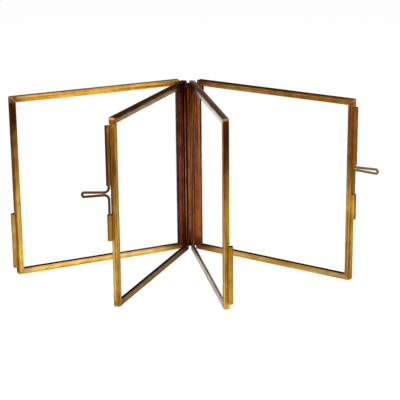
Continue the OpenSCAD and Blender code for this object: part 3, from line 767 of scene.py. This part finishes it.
# The pins' flats are lighter than round them: painted highlight.
for node, leaf in (("left_hinge_pin", "far_left"), ("centre_hinge_pin", "near_left"),
                   ("right_hinge_pin", "far_right")):
    give(node, wire_brass(f"{node}_wire", LEAVES[leaf], 0.0, "walnut", "umber", shift=99.0))


# ---------------------------------------------------------------- solder, laid by Geometry Nodes

BEAD_SIDES, BEAD_STEP = 8, 0.3 * MM
DROP_LUMP, DROP_TALL = 1.1 / MM, 1.25  # lumps to a metre, and height to width


def in_metal(group, geometry, metal):
    """Gives a tree's geometry its material."""
    return put(group, "GeometryNodeSetMaterial",
               {"Geometry": geometry, "Material": metal}).outputs[0]


def make_mitre_bead():
    """Sweeps a lumpy bead of solder along the edges that it is given."""
    group, given, result = new_group(
        "mitre bead", "GeometryNodeTree",
        [("Seams", "NodeSocketGeometry", None), ("Bead Radius", FLOAT, 0.3 * MM),
         ("Lumpiness", FLOAT, 0.35), ("Lump Spacing", FLOAT, 0.9 * MM), ("Seed", FLOAT, 0.0),
         ("Solder", "NodeSocketMaterial", None)],
        [("Beads", "NodeSocketGeometry")])
    path = put(group, "GeometryNodeMeshToCurve", {"Mesh": given["Seams"]}).outputs[0]
    even = put(group, "GeometryNodeResampleCurve", {"Curve": path, "Length": BEAD_STEP},
               mode="LENGTH").outputs[0]
    spot = put(group, "GeometryNodeInputPosition").outputs[0]
    lumps = put(group, "ShaderNodeTexNoise",
                {"Vector": spot, "W": given["Seed"], "Detail": 1.0,
                 "Scale": sum_of(group, "DIVIDE", 1.0, given["Lump Spacing"])},
                noise_dimensions="4D").outputs["Fac"]
    swell = sum_of(group, "MULTIPLY", sum_of(group, "SUBTRACT", lumps, 0.5), given["Lumpiness"])
    radius = sum_of(group, "MULTIPLY", given["Bead Radius"], sum_of(group, "ADD", 1.0, swell))
    ring = put(group, "GeometryNodeCurvePrimitiveCircle",
               {"Resolution": BEAD_SIDES, "Radius": 1.0})
    swept = put(group, "GeometryNodeCurveToMesh",
                {"Curve": even, "Profile Curve": ring.outputs[0], "Scale": radius,
                 "Fill Caps": True}).outputs[0]
    smooth = put(group, "GeometryNodeSetShadeSmooth", {0: swept}).outputs[0]
    whole = put(group, "GeometryNodeRealizeInstances", {0: smooth}).outputs[0]
    group.links.new(in_metal(group, whole, given["Solder"]), result["Beads"])
    return group


def make_solder_drops():
    """Sets a lumpy drop of solder on each point that it is given."""
    group, given, result = new_group(
        "solder drops", "GeometryNodeTree",
        [("Spots", "NodeSocketGeometry", None), ("Drop Radius", FLOAT, 0.5 * MM),
         ("Spread", FLOAT, 0.25), ("Lumpiness", FLOAT, 0.12), ("Seed", "NodeSocketInt", 0),
         ("Solder", "NodeSocketMaterial", None)],
        [("Drops", "NodeSocketGeometry")])
    ball = put(group, "GeometryNodeMeshIcoSphere",
               {"Radius": given["Drop Radius"], "Subdivisions": 3}).outputs[0]
    size = put(group, "FunctionNodeRandomValue", {"Seed": given["Seed"]}, data_type="FLOAT")
    group.links.new(sum_of(group, "SUBTRACT", 1.0, given["Spread"]), size.inputs[2])
    group.links.new(sum_of(group, "ADD", 1.0, given["Spread"]), size.inputs[3])
    wide = size.outputs[1]
    tall = put(group, "ShaderNodeCombineXYZ",
               {0: wide, 1: wide, 2: sum_of(group, "MULTIPLY", wide, DROP_TALL)})
    set_down = put(group, "GeometryNodeInstanceOnPoints",
                   {"Points": given["Spots"], "Instance": ball, "Scale": tall.outputs[0]})
    whole = put(group, "GeometryNodeRealizeInstances", {0: set_down.outputs[0]}).outputs[0]
    lumps = put(group, "ShaderNodeTexNoise",
                {"Vector": put(group, "GeometryNodeInputPosition").outputs[0],
                 "Scale": DROP_LUMP, "Detail": 1.0}).outputs["Fac"]
    push = sum_of(group, "MULTIPLY", sum_of(group, "SUBTRACT", lumps, 0.5),
                  sum_of(group, "MULTIPLY", given["Drop Radius"],
                         sum_of(group, "MULTIPLY", given["Lumpiness"], 4.0)))
    normal = put(group, "GeometryNodeInputNormal").outputs[0]
    moved = put(group, "GeometryNodeSetPosition",
                {"Geometry": whole, "Offset": scaled(group, normal, push)}).outputs[0]
    smooth = put(group, "GeometryNodeSetShadeSmooth", {0: moved}).outputs[0]
    group.links.new(in_metal(group, smooth, given["Solder"]), result["Drops"])
    return group


def grow(name, points, edges, group, **values):
    """Runs a Geometry Nodes group on points and edges, and bakes what it makes to a plain mesh."""
    start = bpy.data.objects.new(f"{name}_start", bpy.data.meshes.new(f"{name}_start"))
    start.data.from_pydata(points, edges, [])
    bpy.context.scene.collection.objects.link(start)
    growth = start.modifiers.new("growth", "NODES")
    growth.node_group = group
    sockets = {s.name: s.identifier for s in group.interface.items_tree if s.in_out == "INPUT"}
    for title, value in values.items():
        growth[sockets[title.replace("_", " ")]] = value
    seen = bpy.context.evaluated_depsgraph_get()
    baked = bpy.data.meshes.new_from_object(start.evaluated_get(seen))
    bpy.data.objects.remove(start)
    baked.name = name
    piece = bpy.data.objects.new(name, baked)
    bpy.context.scene.collection.objects.link(piece)
    return piece


def mitre_path(leaf, low_end, hinge_end):
    """A path round one corner: out along one face, over the edge and back along the other."""
    sunk, turn = 0.16 * MM, 0.35 * MM
    inner = CHANNEL_FACE - 0.15 * MM
    outer = CORNER_ROUND * (1 - math.sqrt(0.5)) + sunk
    near, far = SEAM_HALF + sunk, SEAM_HALF + CHANNEL_DEPTH - sunk
    path = []
    for inward, across in ((inner, near), (outer + turn, near), (outer, near + turn),
                           (outer, far - turn), (outer + turn, far), (inner, far)):
        along = TUBE_TO_EDGE + (inward if hinge_end else LEAF - inward)
        path.append(on_leaf(leaf, along, across, inward if low_end else LEAF - inward))
    return path


mitre_bead = make_mitre_bead()
solder_drops = make_solder_drops()
SOLDER_SHADES = {"far_left": "tan", "near_left": "honey", "near_right": "honey",
                 "far_right": "bronze"}
LEAF_SOLDER = {}
for number, (name, leaf) in enumerate(LEAVES.items()):
    LEAF_SOLDER[name] = solder_metal(f"{name}_solder_metal", leaf, SOLDER_SHADES[name],
                                     shift=120 + 5.3 * number)

# A bead on each mitre
for number, (name, leaf) in enumerate(LEAVES.items()):
    points, edges = [], []
    for low_end in (True, False):
        for hinge_end in (True, False):
            path = mitre_path(leaf, low_end, hinge_end)
            edges += [(len(points) + i, len(points) + i + 1) for i in range(len(path) - 1)]
            points += path
    bead = grow(f"{name}_mitre_solder", points, edges, mitre_bead, Bead_Radius=0.25 * MM,
                Lumpiness=0.5, Lump_Spacing=1.1 * MM, Seed=float(number),
                Solder=LEAF_SOLDER[name])
    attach(bead, leaf.body)

# A dark fillet along the edge of the leaf beside the side knuckle, from end to end of that.
# Its dark colour fills the narrow gap there: painted shade.
leaf = LEAVES["far_right"]
inset = 0.26 * MM
SIDE_KNUCKLE_ENDS = (24.7, 88.6)
gap_shade_metal = solder_metal("gap_shade_solder_metal", leaf, "mahogany", 150.0, share=0.2, tinned=0.0)
fillet = grow("far_right_gap_shade_solder",
              [on_leaf(leaf, TUBE_TO_EDGE + inset, SEAM_HALF + inset, height * MM)
               for height in SIDE_KNUCKLE_ENDS],
              [(0, 1)], mitre_bead, Bead_Radius=0.33 * MM, Lumpiness=0.12,
              Lump_Spacing=1.6 * MM, Seed=9.0, Solder=gap_shade_metal)
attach(fillet, leaf.body)

# A drop at each end of each tube, in the corner between the tube and the edge of the leaf:
# the edge's place, the tube's axis across the leaf and the heights of the tubes' ends
AT_HINGE, AT_CLASP = TUBE_TO_EDGE, CLASP_ALONG - TUBE_TO_EDGE
END_KNUCKLES, MIDDLE_KNUCKLE = [2.6, 24.0, 89.3, 112.4], [24.9, 88.4]
TUBE_ENDS = {
    "far_left": [(AT_HINGE, 0.0, END_KNUCKLES), (AT_CLASP, 0.0, [5.5, 40.9])],
    "near_left": [(AT_HINGE, 0.0, END_KNUCKLES), (AT_HINGE, LEAF_PITCH, MIDDLE_KNUCKLE),
                  (AT_CLASP, LEAF_PITCH, [41.8, 75.1, 110.5])],
    "near_right": [(AT_HINGE, 0.0, MIDDLE_KNUCKLE), (AT_HINGE, LEAF_PITCH, MIDDLE_KNUCKLE),
                   (AT_CLASP, LEAF_PITCH, [4.3, 39.7])],
    "far_right": [(AT_HINGE, 0.0, END_KNUCKLES), (AT_CLASP, 0.0, [40.6, 75.1, 110.5])],
}
# The drops where the bolts' tips go in are scorched
SCORCHED = {"near_left": [(AT_CLASP, LEAF_PITCH, [57.5])], "far_right": [(AT_CLASP, 0.0, [56.3])]}


def lay_drops(name, leaf, ends, metal, seed):
    """Sets the drops of one leaf, a little off the tubes' axes and in towards their leaf."""
    aside, inset = 0.05 * MM, 0.75 * MM
    spots = []
    for along, across, heights in ends:
        outward = aside if along > LEAF / 2 else -aside
        inward = inset if across == 0.0 else -inset
        spots += [on_leaf(leaf, along + outward, across + inward, height * MM)
                  for height in heights]
    drops = grow(name, spots, [], solder_drops, Drop_Radius=0.42 * MM, Spread=0.2,
                 Lumpiness=0.12, Seed=seed, Solder=metal)
    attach(drops, leaf.body)


for number, (name, leaf) in enumerate(LEAVES.items()):
    lay_drops(f"{name}_tube_solder", leaf, TUBE_ENDS[name], LEAF_SOLDER[name], number)
for number, (name, ends) in enumerate(SCORCHED.items()):
    metal = solder_metal(f"{name}_scorched_metal", LEAVES[name], "umber", 160.0 + number,
                         share=0.1, tinned=0.0)
    lay_drops(f"{name}_scorched_solder", LEAVES[name], ends, metal, 10 + number)


# ---------------------------------------------------------------- studio

ROOM_LIGHT, BACKDROP = 0.55, 1.0     # how strongly the room lights, and how bright it looks
FLOOR_GLOW, FLOOR_REACH = 0.88, 4.0  # how bright the floor looks, and metres to each side
PAPER = (0.16, 0.16, 0.16, 1)


def seen_directly(tree):
    """1 for a ray from the camera, from metal or through glass, else 0."""
    path = put(tree, "ShaderNodeLightPath").outputs
    either = sum_of(tree, "MAXIMUM", path["Is Camera Ray"], path["Is Glossy Ray"])
    return sum_of(tree, "MAXIMUM", either, path["Is Transmission Ray"])


world = bpy.data.worlds.new("studio")
bpy.context.scene.world = world
world.use_nodes = True
sky = world.node_tree
sky.nodes["Background"].inputs["Color"].default_value = (1, 1, 1, 1)
sky.links.new(step_up(sky, seen_directly(sky), 0.0, 1.0, ROOM_LIGHT, BACKDROP),
              sky.nodes["Background"].inputs["Strength"])

floor = bpy.data.objects.new("floor", bpy.data.meshes.new("floor"))
floor.data.from_pydata([(x * FLOOR_REACH, y * FLOOR_REACH, 0)
                        for x, y in ((-1, -1), (1, -1), (1, 1), (-1, 1))], [], [(0, 1, 2, 3)])
bpy.context.scene.collection.objects.link(floor)
paper, tree, shader = blank_material("white_paper")
shader.inputs["Base Color"].default_value = PAPER
shader.inputs["Roughness"].default_value = 0.9
shader.inputs["Specular IOR Level"].default_value = 0.0
shader.inputs["Emission Color"].default_value = (1, 1, 1, 1)
tree.links.new(sum_of(tree, "MULTIPLY", seen_directly(tree), FLOOR_GLOW),
               shader.inputs["Emission Strength"])
floor.data.materials.append(paper)


def soft_box(name, place, aim, size, power):
    """A square lamp of a size in metres and a power in watts, turned towards aim."""
    lamp = bpy.data.lights.new(name, "AREA")
    lamp.shape, lamp.size, lamp.energy = "SQUARE", size, power
    stand = bpy.data.objects.new(name, lamp)
    stand.location = place
    stand.rotation_euler = (Vector(place) - Vector(aim)).to_track_quat("Z", "Y").to_euler()
    bpy.context.scene.collection.objects.link(stand)


soft_box("overhead_box", (-0.15, -0.25, 0.95), (0, 0, 0.05), 0.7, 3.5)
soft_box("left_box", (-0.9, -0.7, 0.5), (0, 0, 0.06), 0.6, 3.0)
soft_box("right_box", (0.9, -0.5, 0.4), (0, 0, 0.06), 0.5, 1.5)
soft_box("front_box", (0.05, -0.95, 0.45), (0, 0, 0.06), 0.4, 6.0)

# The camera stands where the photograph was taken from
EYE = (0.079194, -0.780823, 0.281244)
heading, dip, roll = math.radians(5.429), math.radians(16.3805), math.radians(-0.5673)
camera = bpy.data.objects.new("camera", bpy.data.cameras.new("camera"))
camera.data.lens, camera.data.sensor_width = 118.97, 36.0
camera.data.clip_start = 0.05
camera.matrix_world = (
    Matrix.Translation(EYE) @ Matrix.Rotation(heading, 4, "Z")
    @ Matrix.Rotation(math.pi / 2 - dip, 4, "X") @ Matrix.Rotation(roll, 4, "Z"))
bpy.context.scene.collection.objects.link(camera)
bpy.context.scene.camera = camera
bpy.context.scene.view_settings.view_transform = "Standard"
